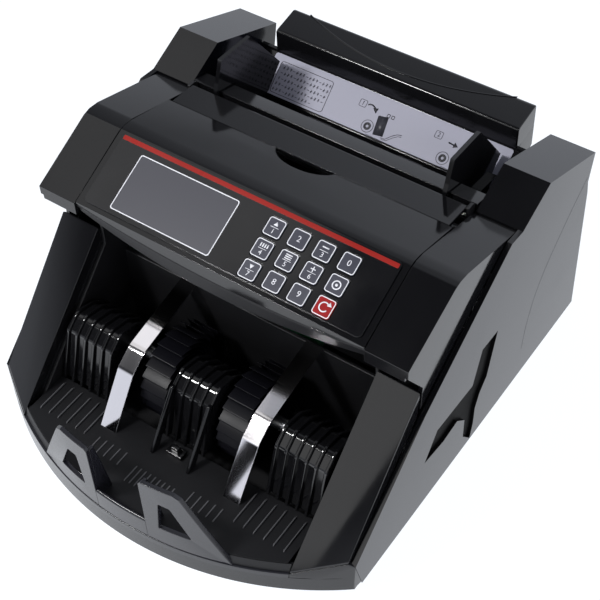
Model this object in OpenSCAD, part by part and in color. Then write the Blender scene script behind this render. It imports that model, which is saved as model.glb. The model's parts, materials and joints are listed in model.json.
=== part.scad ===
// Banknote counting machine, desk type: rear hopper, front stacker, sloped key panel.
// Millimetres. X across the machine, front at -Y, rear at +Y, +Z up, feet on z = 0.

/* [Casing] */
// Overall width across the side covers
body_w = 250; // [230:270]
// Distance of the front bow from the origin
front_y = 147; // [135:160]
// Distance of the rear face from the origin
rear_y = 147; // [135:160]
// Radius of the bowed front
bow_r = 198.5; // [160:260]
// Wall thickness of the moulded covers
wall = 2.6; // [2:0.1:4]
// Half width between the two tower inner faces
tower_in = 96.6; // [90:100]

/* [Panel] */
// Slope of the key panel in degrees
panel_tilt = 25.7; // [15:40]
// Height of the panel's front lip
lip_z = 133.6; // [120:145]
// Key pitch across
key_px = 15.55; // [13:0.05:18]
// Key pitch up the slope
key_py = 12.98; // [11:0.05:15]
// Key cap side
key_w = 10.6; // [9:0.1:12]
// Key travel
key_travel = 0.5; // [0.3:0.1:1]

/* [Hopper] */
// Distance of each note guide from the middle
guide_x = 77; // [60:88]
// Height of the top of the guides
guide_top = 165; // [155:175]

/* [Stacker] */
// Height of the stacker floor
floor_z = 24; // [18:30]
// Radius of the stacking wheels
wheel_r = 29.5; // [24:30]
// Fingers on each stacking wheel
wheel_fingers = 14; // [8:16]
// Pitch of the comb ribs
rib_pitch = 6.45; // [5:0.05:8]

/* [Drive] */
// Shaft radius
shaft_r = 4; // [3:0.5:5]
// Running clearance of shafts in their bushes
run_gap = 0.06; // [0.02:0.01:0.1]

/* [Hidden] */
$fn = 48;
W2 = body_w/2;
yc = bow_r - front_y;
py0 = -51.1;
pz0 = lip_z + 0.4;
key_x0 = 19.2;
key_s0 = 9.95;
imp = [-54, 36];
trn = [35, 94];
fed = [86.9, 102.3];
mot = [98, 42];
inlet = [85, 28];
cover_edge = [[-103.4,26.3],[-37.7,85.4],[45,142.6],[56.9,141.6],[84.8,154.6],[143.3,131.9],
              [139.5,112],[141.5,101.9],[147,1.6],[-97,1.6]];

// profile in the Y-Z plane pushed along X
module yz(p, x0, x1) translate([x0,0,0]) rotate([90,0,90]) linear_extrude(x1-x0) polygon(p);
// cylinder along X
module xc(c, r, x0, x1) translate([x0,c[0],c[1]]) rotate([0,90,0]) cylinder(r=r, h=x1-x0);
module bx(a, b) translate(a) cube([b[0]-a[0],b[1]-a[1],b[2]-a[2]]);
module on_panel(x, s, h) translate([0,py0,pz0]) rotate([panel_tilt,0,0]) translate([x,s,h]) children();
module both() { children(); mirror([1,0,0]) children(); }
module rrect(w, h, r, t) linear_extrude(t) polygon(concat(
  [for (a=[0:15:90]) [w/2-r+r*cos(a), h/2-r+r*sin(a)]],
  [for (a=[90:15:180]) [-w/2+r+r*cos(a), h/2-r+r*sin(a)]],
  [for (a=[180:15:270]) [-w/2+r+r*cos(a), -h/2+r+r*sin(a)]],
  [for (a=[270:15:360]) [w/2-r+r*cos(a), -h/2+r+r*sin(a)]]));
module bow(r, z0, z1) translate([0,yc,z0]) cylinder(r=r, h=z1-z0, $fn=160);

module base_tray() color([.09,.09,.1]) difference() {
  union() {
    intersection() { bow(bow_r, 3, 5.5); bx([-W2+4.2,-front_y-1,3],[W2-4.2,rear_y-4,5.5]); }
    intersection() {
      difference() { bow(bow_r, 3, 15); bow(bow_r-wall, 5.5, 16); }
      bx([-W2+0.8,-front_y-1,3],[W2-0.8,-99,15]);
    }
    for (s=[-1,1]) bx([s*119-1.3,-99,3],[s*119+1.3,rear_y-5,11]);
    bx([-30,-60,5.4],[-18,-54,5.9]);
    for (s=[-1,1], y=[-58,125]) translate([s*100.75,y,5]) cylinder(r=3.2, h=4.6);
  }
  for (s=[-1,1], y=[-84,122]) translate([s*92,y,2]) cylinder(r=2.6, h=5);
  for (i=[-8:0]) bx([i*9-1.6,10,2],[i*9+1.6,46,7]);
}

module rubber_feet() color([.05,.05,.05]) for (s=[-1,1], y=[-84,122]) translate([s*92,y,0]) {
  cylinder(r=8, h=2.9);
  cylinder(r=2.5, h=6.2);
}

module side_cover() difference() {
  union() {
    yz(cover_edge, W2-3, W2);
    difference() {
      yz([[56.9,100],[56.9,141.6],[84.8,154.6],[143.3,131.9],[139.5,112],[141,106],[141,100]],
         tower_in, W2-0.1);
      yz([[59.6,99],[59.6,139.9],[85,151.5],[140.6,129.9],[136.8,112],[138,106],[138,99]],
         tower_in+wall, W2-2.9);
      yz([[50,90],[50,112],[134,112],[134,90]], tower_in-1, W2-6);
      yz([[50,90],[50,118],[134,118],[134,90]], tower_in+wall, W2-6);
    }
  }
  // dark decor groove in the flank
  yz([[40,78],[23,78.5],[15,55],[-23,56.5],[-35,40],[-15,37],[0,39],[9,30],[9,14],[18,2.5],[20.5,14],
      [21,28],[25,38],[32,46]], W2-2, W2+1);
  // hand recess under the flank
  yz([[-60,1],[-58,6],[10,6],[16,1]], W2-4, W2+1);
}
module side_cover_right() color([.09,.09,.1]) side_cover();
module side_cover_left() color([.09,.09,.1]) mirror([1,0,0]) side_cover();

hood_top = [[-51,133.2],[-8,154.4],[-3,155.6],[4,155],[56.4,140.4]];
module hood() color([.09,.09,.1]) both() {
  // shoulder skin
  yz(concat(hood_top, [[56.4,137.7],[4,152.3],[-2,152.9],[-7,151.8],[-49,130.6],[-51,127.5]]), 95.4, 121.4);
  // side skirt
  yz([[-51,133.2],[-8,154.4],[-3,155.6],[4,155],[56.4,140.4],[46,142],[-36.5,87.4],[-35.5,104.6],[-51,127.5]],
     118.8, 121.4);
  // front lip of the shoulder
  yz([[-51,133.2],[-51,124.5],[-48.6,124.5],[-48.6,131]], 95.4, 121.4);
  // screw boss
  translate([108,-30,112]) cylinder(r=3.5, h=29);
}

module stacker_housing() color([.05,.05,.055]) {
  both() {
    // slanted front column
    hull() {
      yz([[-37.4,103],[-121.8,19.7],[-121.8,15.5],[-100,15.5],[-31,92]], 95, 95.5);
      yz([[-37.5,103],[-43,97],[-104.9,29.5],[-104.9,15.5],[-97,15.5],[-39,86.4]], 121, 121.4);
    }
    // inner side wall
    difference() {
      yz([[-112,15.5],[-36,90],[-36,122],[-18,122],[-18,8],[-90,8],[-90,15.5]], 93, 95.1);
      xc(imp, shaft_r+1.2, 92, 96);
    }
  }
  // rear wall behind the wheels
  bx([-95,-21.6,8],[95,-19.4,72.6]);
}

module central_cover() color([.11,.11,.12]) difference() {
  union() {
    yz([[-51,133.6],[-7.6,154.5],[-4,155.7],[2,155.3],[34.6,147.2],[34.6,144.6],[2,152.7],[-3.8,153],
        [-7,151.9],[-49,131.7],[-49,128],[-51,128]], -94.9, 94.9);
    // inner baffle above the stacker
    yz([[-24,134],[-21.6,134],[-17.4,77],[-19.8,77]], -91.9, 91.9);
    // bowed front lip
    intersection() {
      translate([0,-48.6,0]) rotate([90,0,0]) linear_extrude(6) polygon(concat([[94.9,131],[-94.9,131]],
        [for (i=[-10:10]) [i*9.49, 117+10*pow(i/10,2)]]));
      translate([0,148,110]) cylinder(r=202.6, h=30, $fn=160);
    }
    // ribs and screw bosses below
    for (s=[-1,1]) yz([[-49,129],[-24,141],[-17.6,80],[-20,80],[-27,118],[-47,123]], s*91.2-1, s*91.2+1);
  }
  // pockets for the keys and the display
  for (i=[0:3], j=[0:2]) on_panel(key_x0+i*key_px, key_s0+j*key_py, -1.3) rrect(key_w+0.7,key_w+0.7,1.6,2);
  for (i=[0:3], j=[0:2]) on_panel(key_x0+i*key_px, key_s0+j*key_py, -4) cylinder(r=2.1, h=5, $fn=24);
  on_panel(-40,23.65,-5) translate([-30,-13.5,0]) cube([60,27,6]);
  // finger scoop at the rear edge
  translate([1,38,140]) scale([1,0.6,1]) cylinder(r=21, h=20);
}

module panel_overlay() color([.03,.03,.035]) difference() {
  on_panel(0,0,0.1) translate([-91,3.6,0]) cube([182,44.8,0.7]);
  on_panel(-40,23.65,-1) translate([-33.3,-16.8,0]) cube([66.6,33.6,4]);
  for (i=[0:3], j=[0:2]) on_panel(key_x0+i*key_px, key_s0+j*key_py, -1) rrect(key_w+0.7,key_w+0.7,1.6,4);
}
module accent_stripe() color([.66,.14,.1]) on_panel(0,44.6,0.82) translate([-90.5,0,0]) cube([181,2.6,0.25]);
module display_window() color([.35,.35,.38]) on_panel(-40,23.65,0.1) translate([-33.1,-16.6,0])
  cube([66.2,33.2,0.8]);

// key cap with its stem, coded by column and row from the front
module key(i, j) on_panel(key_x0+i*key_px, key_s0+j*key_py, 0) {
  translate([0,0,-0.1]) rrect(key_w,key_w,1.4,1.5);
  translate([0,0,-6.2]) cylinder(r=1.6, h=6.3, $fn=24);
}
kc = [.3,.31,.36];
module key_1() color(kc) key(0,2);
module key_2() color(kc) key(1,2);
module key_3() color(kc) key(2,2);
module key_0() color(kc) key(3,2);
module key_4() color(kc) key(0,1);
module key_5() color(kc) key(1,1);
module key_6() color(kc) key(2,1);
module key_set() color(kc) key(3,1);
module key_7() color(kc) key(0,0);
module key_8() color(kc) key(1,0);
module key_9() color(kc) key(2,0);
module key_restart() color([.7,.1,.1]) key(3,0);

module control_board() color([.1,.3,.16]) {
  on_panel(0,0,-8.9) translate([-80,5,0]) cube([160,38,1.6]);
  for (i=[0:3], j=[0:2]) on_panel(key_x0+i*key_px, key_s0+j*key_py, -7.35) cylinder(r=2.4, h=0.5, $fn=24);
  on_panel(-40,23.65,-7.4) translate([-31,-14,0]) cube([62,28,3.2]);
}

module jam_flap() color([.1,.1,.11]) {
  yz([[35.1,147.1],[53.6,145.7],[54.6,145.2],[55,144.5],[54.4,143.6],[35.1,144.8]], -92.4, 92.4);
  for (s=[-1,1]) xc([54,144.5], 0.7, min(s*92,s*94.4), max(s*92,s*94.4));
}

module hopper_plate() color([.1,.1,.11]) difference() {
  union() {
    // shelf at the upper edge, then the slope the notes lie on
    yz([[59,144.6],[71.6,141.2],[71.6,133.1],[101,110.6],[101,107.6],[59,139.7]], -96, 96);
    for (s=[-1,1]) {
      yz([[51.8,138.5],[62,138.5],[62,141],[57,146.2],[51.8,146.2]], min(s*92.8,s*94.8), max(s*92.8,s*94.8));
      yz([[51.8,138.5],[62,138.5],[62,136],[58,112],[51.8,112]], min(s*92.8,s*94.8), max(s*92.8,s*94.8));
    }
  }
  xc([54,144.5], 0.76, -97, 97);
  xc([56.5,122], 3, -97, 97);
  for (s=[-1,1]) bx([s*32-9,85.6,100],[s*32+9,102,126]);
}

module back_rest() color([.1,.1,.11]) {
  // sloped rest and its front fold
  difference() {
    yz([[103.2,111],[126,126.4],[126,128],[128.6,128],[128.6,125],[104.6,108.8],[104.6,100],[103.2,100]],
       -96, 96);
    for (s=[-1,1]) yz([[112,100],[112,130],[130,130],[130,100]], s*90.3-6, s*90.3+6);
  }
  // carrying bar with its end brackets
  difference() {
    yz([[126,126.5],[126,141.4],[128,142.6],[145,145.9],[147,145],[147,130],[134,127]], -84.3, 84.3);
    yz([[130,120],[130,138.6],[143,141],[143,120]], -80.8, 80.8);
  }
  for (s=[-1,1]) yz([[126,126.6],[147,131],[147,116],[143.8,113],[137,113]],
    min(s*80.8,s*84.3), max(s*80.8,s*84.3));
}

module instruction_label() color([.66,.66,.72])
  yz([[104.3,112.1],[125.7,126.5],[125.5,126.8],[104.1,112.4]], -83.5, 83.5);

guide_edge = [[55.7,144.6],[56.2,146.6],[62.5,guide_top],[90.5,guide_top-1.2],[117.8,127.5],[105,113.8],
              [100.5,112.2],[72.6,133.8],[72.6,141.9],[59.4,145.4],[58.1,145.4],[58.1,127],[55.7,127]];
module guide() {
  yz(guide_edge, guide_x-1, guide_x+1.6);
  difference() {
    yz([[50.5,116],[62.5,116],[62.5,128],[50.5,128]], guide_x-7, guide_x+3.5);
    xc([56.5,122], 3+run_gap, guide_x-8, guide_x+5);
  }
  // foot block at the lower end
  yz([[99.6,113.2],[104.2,113.6],[109.5,118.6],[92,121],[90.4,120.5]], guide_x-1, guide_x+4.6);
}
module guide_right() color([.04,.04,.045]) guide();
module guide_left() color([.04,.04,.045]) mirror([1,0,0]) guide();
module guide_rail() color([.7,.7,.72]) xc([56.5,122], 3, -96.2, 96.2);

// upright stop at the front: low wall and two windowed tabs
module tab2d() difference() {
  polygon([[17.5,15.4],[17.5,68],[19,70.5],[38,70.5],[42,68.5],[68,15.4]]);
  polygon([[25.9,32.6],[28.3,56.6],[34.8,56],[45.6,32.6]]);
}
module front_stop() color([.1,.1,.11]) intersection() {
  difference() { bow(bow_r-0.4, 15.4, 80); bow(bow_r-3.2, 15, 81); }
  union() {
    translate([0,-110,0]) rotate([90,0,0]) linear_extrude(60) { tab2d(); mirror([1,0]) tab2d(); }
    bx([-18,-160,15.4],[18,-110,33.5]);
    bx([-94.6,-160,15.4],[94.6,-110,18.4]);
  }
}

module stacker_floor() color([.08,.08,.085]) {
  intersection() {
    bow(bow_r-3.6, floor_z-2, floor_z);
    bx([-92.7,-160,0],[92.7,-90,40]);
  }
  for (s=[-1,1], i=[0:5]) bx([s*(53.5+i*6.7)-0.5,-113,floor_z-0.1],[s*(53.5+i*6.7)+0.5,-94,floor_z+1.1]);
  for (i=[-4:4]) bx([i*3.4-0.4,-128,floor_z-0.1],[i*3.4+0.4,-116,floor_z+0.5]);
  for (s=[-1,1]) bx([s*60-2,-112,5.6],[s*60+2,-100,floor_z-1]);
}

rib = [[-91,24.6],[-80,57],[-78,61.5],[-74.5,63.9],[-70,64],[-58,61.5],[-48,54],[-44,44],[-44,24.6]];
back = [[-86,24.6],[-76,55],[-73.5,58.5],[-70,59],[-60,57],[-51,50.5],[-48,43],[-48,24.6]];
module comb(x0, n) {
  for (i=[0:n-1]) yz(rib, x0+i*rib_pitch-1, x0+i*rib_pitch+1);
  yz(back, x0-1, x0+(n-1)*rib_pitch+1);
  for (y=[-80,-48.5]) bx([x0+rib_pitch,y,5.6],[x0+(n-2)*rib_pitch,y+3,25]);
}
module comb_bored(x0, n) difference() { comb(x0, n); xc(imp, shaft_r+1.2, x0-5, x0+60); }
module comb_right() color([.08,.08,.085]) comb_bored(58.2, 6);
module comb_left() color([.08,.08,.085]) mirror([1,0,0]) comb_bored(58.2, 6);
module comb_centre() color([.08,.08,.085]) {
  comb_bored(-2*rib_pitch, 5);
  for (s=[-1,1]) yz([[-105,24.6],[-80.5,59],[-76,58],[-98,24.6]], s*2*rib_pitch-1, s*2*rib_pitch+1);
}

// bent polished strip: front leg, bend, top leg
strip = [[-105.6,24.4],[-83.6,55.2],[-80.6,58.8],[-76.6,61.6],[-72,63.2],[-22,74.6]];
strip_in = [[-22,73.4],[-71.6,62],[-76,60.5],[-79.7,57.9],[-82.6,54.4],[-104.4,24.4]];
module strip_part() {
  yz(concat(strip, strip_in), 38.5, 49.5);
  yz([[-24,73.2],[-22,73.7],[-22,64],[-24,64]], 40, 48);
}
module strip_right() color([.8,.8,.8]) strip_part();
module strip_left() color([.8,.8,.8]) mirror([1,0,0]) strip_part();

module rear_panel() color([.09,.09,.1]) difference() {
  union() {
    bx([-121.4,142.6,6],[121.4,145.2,98]);
    bx([-95.8,140.6,97],[95.8,143.2,112]);
  }
  inlet_box(14.3, 10.9, 140, 150);
  bx([48.2,140,20.2],[61.8,150,41.8]);
  translate([38,150,28]) rotate([90,0,0]) cylinder(r=6, h=12);
  for (i=[0:11]) bx([-94+i*8,140,60],[-90+i*8,150,86]);
}
// box about the middle of the mains inlet, from its half width and half height
module inlet_box(hw, hh, y0, y1) bx([inlet[0]-hw,y0,inlet[1]-hh],[inlet[0]+hw,y1,inlet[1]+hh]);
module mains_inlet() color([.05,.05,.05]) {
  difference() {
    union() {
      inlet_box(14, 10.6, 128, 145.4);
      inlet_box(18, 13, 145.3, 146.9);
    }
    inlet_box(12.2, 8.4, 131, 150);
  }
  for (p=[[-7,-2],[0,2],[7,-2]])
    bx([inlet[0]+p[0]-1,130.9,inlet[1]+p[1]-2],[inlet[0]+p[0]+1,143.5,inlet[1]+p[1]+2]);
}
module rocker_switch() color([.5,.05,.05]) intersection() {
  translate([49.6,138.2,31]) rotate([0,90,0]) cylinder(r=8.3, h=10.8);
  bx([49.6,139.5,21.6],[60.4,147,40.4]);
}
module fuse_holder() color([.05,.05,.05]) {
  translate([38,145.4,28]) rotate([90,0,0]) cylinder(r=5.8, h=17.6);
  translate([38,146.9,28]) rotate([90,0,0]) cylinder(r=7.2, h=1.6);
}

ties = [[120,70],[70,64],[120,20]];
fp = [[-66,9.8],[-66,40],[-14,96],[4,113],[110,113],[132,98],[132,9.8]];
module frame_side() difference() {
  yz(fp, 100, 101.5);
  for (c=[imp,trn,fed]) xc(c, 7.04, 99, 103);
  for (c=ties) xc(c, 2.5, 99, 103);
}
module frame_right() color([.6,.62,.64]) {
  frame_side();
  for (y=[-58,125]) bx([96,y-5,9.7],[101.5,y+5,11.2]);
}
module frame_left() color([.6,.62,.64]) {
  difference() { mirror([1,0,0]) frame_side(); xc(mot, 10, -103, -99); }
  for (y=[-58,125]) bx([-101.5,y-5,9.7],[-96,y+5,11.2]);
}
module frame_ties() color([.6,.62,.64]) for (c=ties) {
  xc(c, 2.46, -102.6, 102.6);
  xc(c, 4, -99.7, 99.7);
}

// shaft with pulleys; belts run clear of the grooves
module pulley(c, r, x0, w) { xc(c, r, x0, x0+w); xc(c, r+2, x0-1, x0-0.1); xc(c, r+2, x0+w+0.1, x0+w+1);
  xc(c, r-1, x0-0.2, x0+w+0.2); }
module impeller_shaft() color([.72,.72,.74]) {
  xc(imp, shaft_r, -115.5, 103);
  pulley(imp, 16, -114.4, 4.8);
}
// stacking wheel: curved fingers around a hub
module finger(a0) polygon([for (t=[0:6]) let (r=9+t*(wheel_r-9)/6, a=a0+t*13) [r*cos(a), r*sin(a)],
  for (t=[6:-1:0]) let (r=9+t*(wheel_r-9)/6, a=a0+t*13-(10-t*1.1)) [r*cos(a), r*sin(a)]]);
module wheel(x0, x1) translate([x0,imp[0],imp[1]]) rotate([90,0,90]) difference() {
  union() {
    linear_extrude(x1-x0) for (k=[0:wheel_fingers-1]) finger(k*360/wheel_fingers);
    cylinder(r=11, h=x1-x0);
  }
  translate([0,0,-1]) cylinder(r=shaft_r, h=x1-x0+2);
}
module impeller_wheels() color([.06,.06,.065]) { wheel(18,36.5); wheel(-36.5,-18); }
module transport_shaft() color([.72,.72,.74]) {
  xc(trn, shaft_r, -115.5, 110);
  pulley(trn, 18, -108.6, 4.8);
  pulley(trn, 8, -114.4, 4.8);
  pulley(trn, 12, 103.8, 4.8);
}
module ring(c, r, x0, x1) difference() { xc(c, r, x0, x1); xc(c, shaft_r, x0-1, x1+1); }
module transport_rollers() color([.2,.2,.22]) for (x=[-78,-32,32,78]) ring(trn, 17, x-9, x+9);
module feed_shaft() color([.72,.72,.74]) {
  xc(fed, shaft_r, -103, 110);
  pulley(fed, 12, 103.8, 4.8);
}
module feed_rollers() color([.1,.1,.1]) for (x=[-32,32]) ring(fed, 16, x-8, x+8);
module retard_block() color([.4,.4,.42]) {
  bx([-44,105.4,78],[44,112,106]);
  for (s=[-1,1]) bx([s*32-9,103.7,93],[s*32+9,105.6,99.5]);
  bx([-99.6,108,80],[99.6,111,86]);
}
module motor() color([.35,.36,.38]) {
  difference() {
    union() { xc(mot, 27, -95, -28); xc(mot, 9.6, -99.6, -94.8); }
    xc(mot, 3+run_gap, -101, -40);
  }
  bx([-90,78,5.6],[-34,118,16]);
}
module motor_pulley() color([.72,.72,.74]) { xc(mot, 3, -110.5, -41); pulley(mot, 9, -108.6, 4.8); }
module loop(a, ra, b, rb, x0, w) difference() {
  hull() { xc(a, ra+1.9, x0, x0+w); xc(b, rb+1.9, x0, x0+w); }
  hull() { xc(a, ra+0.4, x0-1, x0+w+1); xc(b, rb+0.4, x0-1, x0+w+1); }
}
module drive_belts() color([.07,.07,.07]) {
  loop(mot, 9, trn, 18, -108.2, 4);
  loop(trn, 8, imp, 16, -114, 4);
  loop(trn, 12, fed, 12, 104.2, 4);
}
module bearings() color([.7,.55,.3]) for (c=[imp,trn,fed], s=[-1,1]) difference() {
  union() { xc(c, 7, s*100.75-1.7, s*100.75+1.7); xc(c, 8.6, min(s*98.6,s*99.9), max(s*98.6,s*99.9)); }
  xc(c, shaft_r+run_gap, s*100.75-4, s*100.75+4);
}
module main_board() color([.1,.3,.16]) {
  bx([-88,-12,14],[20,60,15.6]);
  for (p=[[-70,0],[-50,40],[-20,10],[5,45]]) bx([p[0]-7,p[1]-7,15.5],[p[0]+7,p[1]+7,22]);
  for (p=[[-84,-8],[16,-8],[-84,56],[16,56]]) translate([p[0],p[1],5.6]) cylinder(r=2, h=8.5);
  for (p=[[-30,40],[-38,52]]) translate([p[0],p[1],15.5]) cylinder(r=5, h=16);
}
module transformer() color([.45,.3,.16]) {
  bx([30,40,5.7],[86,86,12]);
  difference() { bx([34,44,12],[82,82,50]); bx([40,40,20],[76,90,42]); }
  bx([42,40,21],[74,86,41]);
}
module note_chute() color([.12,.12,.13]) difference() {
  yz([[101.8,91.5],[92,84.8],[80,80.6],[60,77.4],[45,76.7],[10,76.2],[-16,75.6],[-16,73.2],[10,73.8],
    [60,75],[80.6,78.2],[93,82.6],[103.3,89.8]], -92.6, 92.6);
  for (x=[-60,0,60]) bx([x-5,20,70],[x+5,30,80]);
}
module sensor_board() color([.1,.25,.35]) {
  bx([-95.7,20,68],[95.7,30,69.6]);
  for (x=[-60,0,60]) bx([x-3,22,69.5],[x+3,28,73.4]);
  for (s=[-1,1]) bx([s*94.4-1.2,22,5.7],[s*94.4+1.2,28,68.1]);
}
module casing_screws() color([.75,.75,.77]) for (s=[-1,1]) {
  for (y=[-58,125]) translate([s*98,y,11.3]) cylinder(r=1.9, h=1.6, $fn=24);
  translate([s*110,146.9,14]) rotate([90,0,0]) cylinder(r=3, h=1.5, $fn=24);
  translate([s*110,146.9,90]) rotate([90,0,0]) cylinder(r=3, h=1.5, $fn=24);
}

base_tray();
rubber_feet();
side_cover_left();
side_cover_right();
hood();
stacker_housing();
central_cover();
panel_overlay();
accent_stripe();
display_window();
key_1();
key_2();
key_3();
key_0();
key_4();
key_5();
key_6();
key_set();
key_7();
key_8();
key_9();
key_restart();
control_board();
jam_flap();
hopper_plate();
back_rest();
instruction_label();
guide_left();
guide_right();
guide_rail();
front_stop();
stacker_floor();
comb_left();
comb_centre();
comb_right();
strip_left();
strip_right();
rear_panel();
mains_inlet();
rocker_switch();
fuse_holder();
frame_left();
frame_right();
frame_ties();
impeller_shaft();
impeller_wheels();
transport_shaft();
transport_rollers();
feed_shaft();
feed_rollers();
retard_block();
motor();
motor_pulley();
drive_belts();
bearings();
main_board();
transformer();
note_chute();
sensor_board();
casing_screws();
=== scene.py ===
import json
import math
import bmesh
import bpy
from mathutils import Matrix, Vector


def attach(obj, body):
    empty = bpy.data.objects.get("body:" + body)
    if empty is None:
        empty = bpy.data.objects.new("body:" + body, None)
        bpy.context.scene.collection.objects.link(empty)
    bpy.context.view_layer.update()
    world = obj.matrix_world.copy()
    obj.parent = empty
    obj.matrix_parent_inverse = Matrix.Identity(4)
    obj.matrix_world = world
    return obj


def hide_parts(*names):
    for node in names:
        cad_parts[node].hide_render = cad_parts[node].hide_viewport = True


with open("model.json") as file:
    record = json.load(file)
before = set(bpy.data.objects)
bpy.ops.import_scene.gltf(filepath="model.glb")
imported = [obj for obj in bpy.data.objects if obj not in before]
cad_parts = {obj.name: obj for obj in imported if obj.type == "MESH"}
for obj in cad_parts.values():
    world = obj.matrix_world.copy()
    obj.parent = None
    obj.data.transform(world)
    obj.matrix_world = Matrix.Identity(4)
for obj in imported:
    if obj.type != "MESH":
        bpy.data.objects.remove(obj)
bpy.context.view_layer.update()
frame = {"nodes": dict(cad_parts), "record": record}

NODES = frame["nodes"]
RECORD = frame["record"]
SCENE = bpy.context.scene
MM = 0.001

# Planes that outlines are drawn in: (u, v, w) to (x, y, z), all in millimetres. PANEL and LABEL
# have u across, v up the slope and w out of the face, with v = 0 near the lower edge.
SIDE = Matrix(((0, 0, 1, 0), (1, 0, 0, 0), (0, 1, 0, 0), (0, 0, 0, 1)))
TOP = Matrix.Identity(4)
PANEL_TILT = math.radians(25.7)
PANEL = Matrix.Translation((0, -51.1, 134.0)) @ Matrix.Rotation(PANEL_TILT, 4, "X")
LABEL_TILT = math.atan2(14.4, 21.4)
LABEL = Matrix.Translation((0, 104.1, 112.4)) @ Matrix.Rotation(LABEL_TILT, 4, "X")

# The front is bowed about an upright axis that passes through Y = BOW_Y.
BOW_R = 198.5
BOW_Y = 51.5

# Faces by their distance from the middle plane, from the carrying bar out to the side covers.
BAR_X = 84.3
BAFFLE_X = 91.9
FLAP_X = 92.4
FLOOR_X = 92.7
EAR_X = (92.8, 94.8)
WALL_X = (93, 95.1)
COVER_X = 94.9
COLUMN_X = 95
HOOD_X = 95.4
HOPPER_X = 96
TOWER_X = 96.6
TOWER_INNER_X = 99.2
SKIRT_INNER_X = 118.8
SKIRT_X = 121.4
COVER_INNER_X = 122
GROOVE_FLOOR_X = 122.9
BODY_X = 125


# ---------------------------------------------------------------- camera, lights, floor
CAMERA_AZIMUTH = math.radians(36.77)
CAMERA_ELEVATION = math.radians(48.34)
CAMERA_ROLL = math.radians(-2.6)
CAMERA_TARGET = (14.81, 5.77, 67.65)
CAMERA_DISTANCE = 789.78
CAMERA_LENS = 81.94

# Lights and floor are in metres. Name, direction, distance, size, power in watts.
LIGHTS = [
    ("key_light", (-0.398, -0.512, 0.755), 1.5, 0.22, 14),
    ("side_light", (0.85, -0.25, 0.6), 1.6, 0.3, 3),
    ("left_ceiling", (-0.55, -0.14, 0.9), 1.07, 0.4, 0.45),
    ("front_panel", (-0.13, -0.85, 0.53), 1.0, 0.46, 0.9),
]
LIGHT_AIM = (0, 0, 0.07)
WORLD_TINT = (0.87, 0.91, 1.0, 1)
WORLD_LEAST = 0.05
FLOOR_HALF_SIZE = 4
FLOOR_DROP = 0.0002
FLOOR_GLOW_IN_FRONT = 2.3
FLOOR_GLOW = 1.04


def make_camera():
    """Camera that stands where the photographer stood."""
    az, el, roll = CAMERA_AZIMUTH, CAMERA_ELEVATION, CAMERA_ROLL
    back = Vector((math.sin(az) * math.cos(el), -math.cos(az) * math.cos(el), math.sin(el)))
    right = (-back).cross(Vector((0, 0, 1))).normalized()
    up = right.cross(-back)
    image_right = math.cos(roll) * right + math.sin(roll) * up
    image_up = -math.sin(roll) * right + math.cos(roll) * up
    turn = Matrix((image_right, image_up, back)).transposed().to_4x4()
    cam = bpy.data.objects.new("camera", bpy.data.cameras.new("camera"))
    cam.matrix_world = Matrix.Translation((Vector(CAMERA_TARGET) + back * CAMERA_DISTANCE) * MM) @ turn
    cam.data.sensor_width = 36
    cam.data.lens = CAMERA_LENS
    cam.data.clip_start = 0.01
    cam.data.clip_end = 50
    SCENE.collection.objects.link(cam)
    SCENE.camera = cam


def area_light(name, direction, distance, size, power):
    """Soft box that looks at the machine from a direction."""
    data = bpy.data.lights.new(name, "AREA")
    data.energy = power
    data.shape = "SQUARE"
    data.size = size
    o = bpy.data.objects.new(name, data)
    d = Vector(direction).normalized()
    o.location = Vector(LIGHT_AIM) + d * distance
    o.rotation_euler = d.to_track_quat("Z", "Y").to_euler()
    SCENE.collection.objects.link(o)


def axes(nt, coordinate):
    """X, Y and Z of a texture coordinate, as three sockets."""
    tc = nt.nodes.new("ShaderNodeTexCoord")
    sep = nt.nodes.new("ShaderNodeSeparateXYZ")
    nt.links.new(tc.outputs[coordinate], sep.inputs[0])
    return tuple(sep.outputs)


def ease(nt, value, start, end, before, after):
    """Socket that eases from before to after while value goes from start to end."""
    n = nt.nodes.new("ShaderNodeMapRange")
    n.interpolation_type = "SMOOTHSTEP"
    n.inputs["From Min"].default_value = start
    n.inputs["From Max"].default_value = end
    n.inputs["To Min"].default_value = before
    n.inputs["To Max"].default_value = after
    nt.links.new(value, n.inputs["Value"])
    return n.outputs[0]


def combine(nt, operation, first, second):
    """Math node on a socket and a second socket or plain number."""
    n = nt.nodes.new("ShaderNodeMath")
    n.operation = operation
    nt.links.new(first, n.inputs[0])
    if isinstance(second, float):
        n.inputs[1].default_value = second
    else:
        nt.links.new(second, n.inputs[1])
    return n.outputs[0]


def make_world():
    """White cove behind, weaker to the left and overhead, dark on the photographer's side."""
    world = bpy.data.worlds.new("studio")
    SCENE.world = world
    world.use_nodes = True
    nt = world.node_tree
    nt.nodes.clear()
    out = nt.nodes.new("ShaderNodeOutputWorld")
    bg = nt.nodes.new("ShaderNodeBackground")
    x, y, z = axes(nt, "Generated")
    # each goes from one strength to another between two values of a direction's component
    wall = ease(nt, y, -0.1, 0.14, 0, 0.95)
    left_fade = ease(nt, x, -0.62, -0.25, 0.35, 1)
    top_fade = ease(nt, z, 0.76, 0.9, 1, 0.6)
    ground = ease(nt, z, 0.2, 0.5, 1, 0)
    rear = combine(nt, "MULTIPLY", combine(nt, "MULTIPLY", wall, left_fade), top_fade)
    lit = combine(nt, "MAXIMUM", rear, ground)
    nt.links.new(combine(nt, "MAXIMUM", lit, WORLD_LEAST), bg.inputs["Strength"])
    bg.inputs["Color"].default_value = WORLD_TINT
    nt.links.new(bg.outputs[0], out.inputs[0])


def linked(name, bm):
    """Object in the scene from a bmesh, which it frees."""
    me = bpy.data.meshes.new(name)
    bm.to_mesh(me)
    bm.free()
    o = bpy.data.objects.new(name, me)
    SCENE.collection.objects.link(o)
    return o


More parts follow.
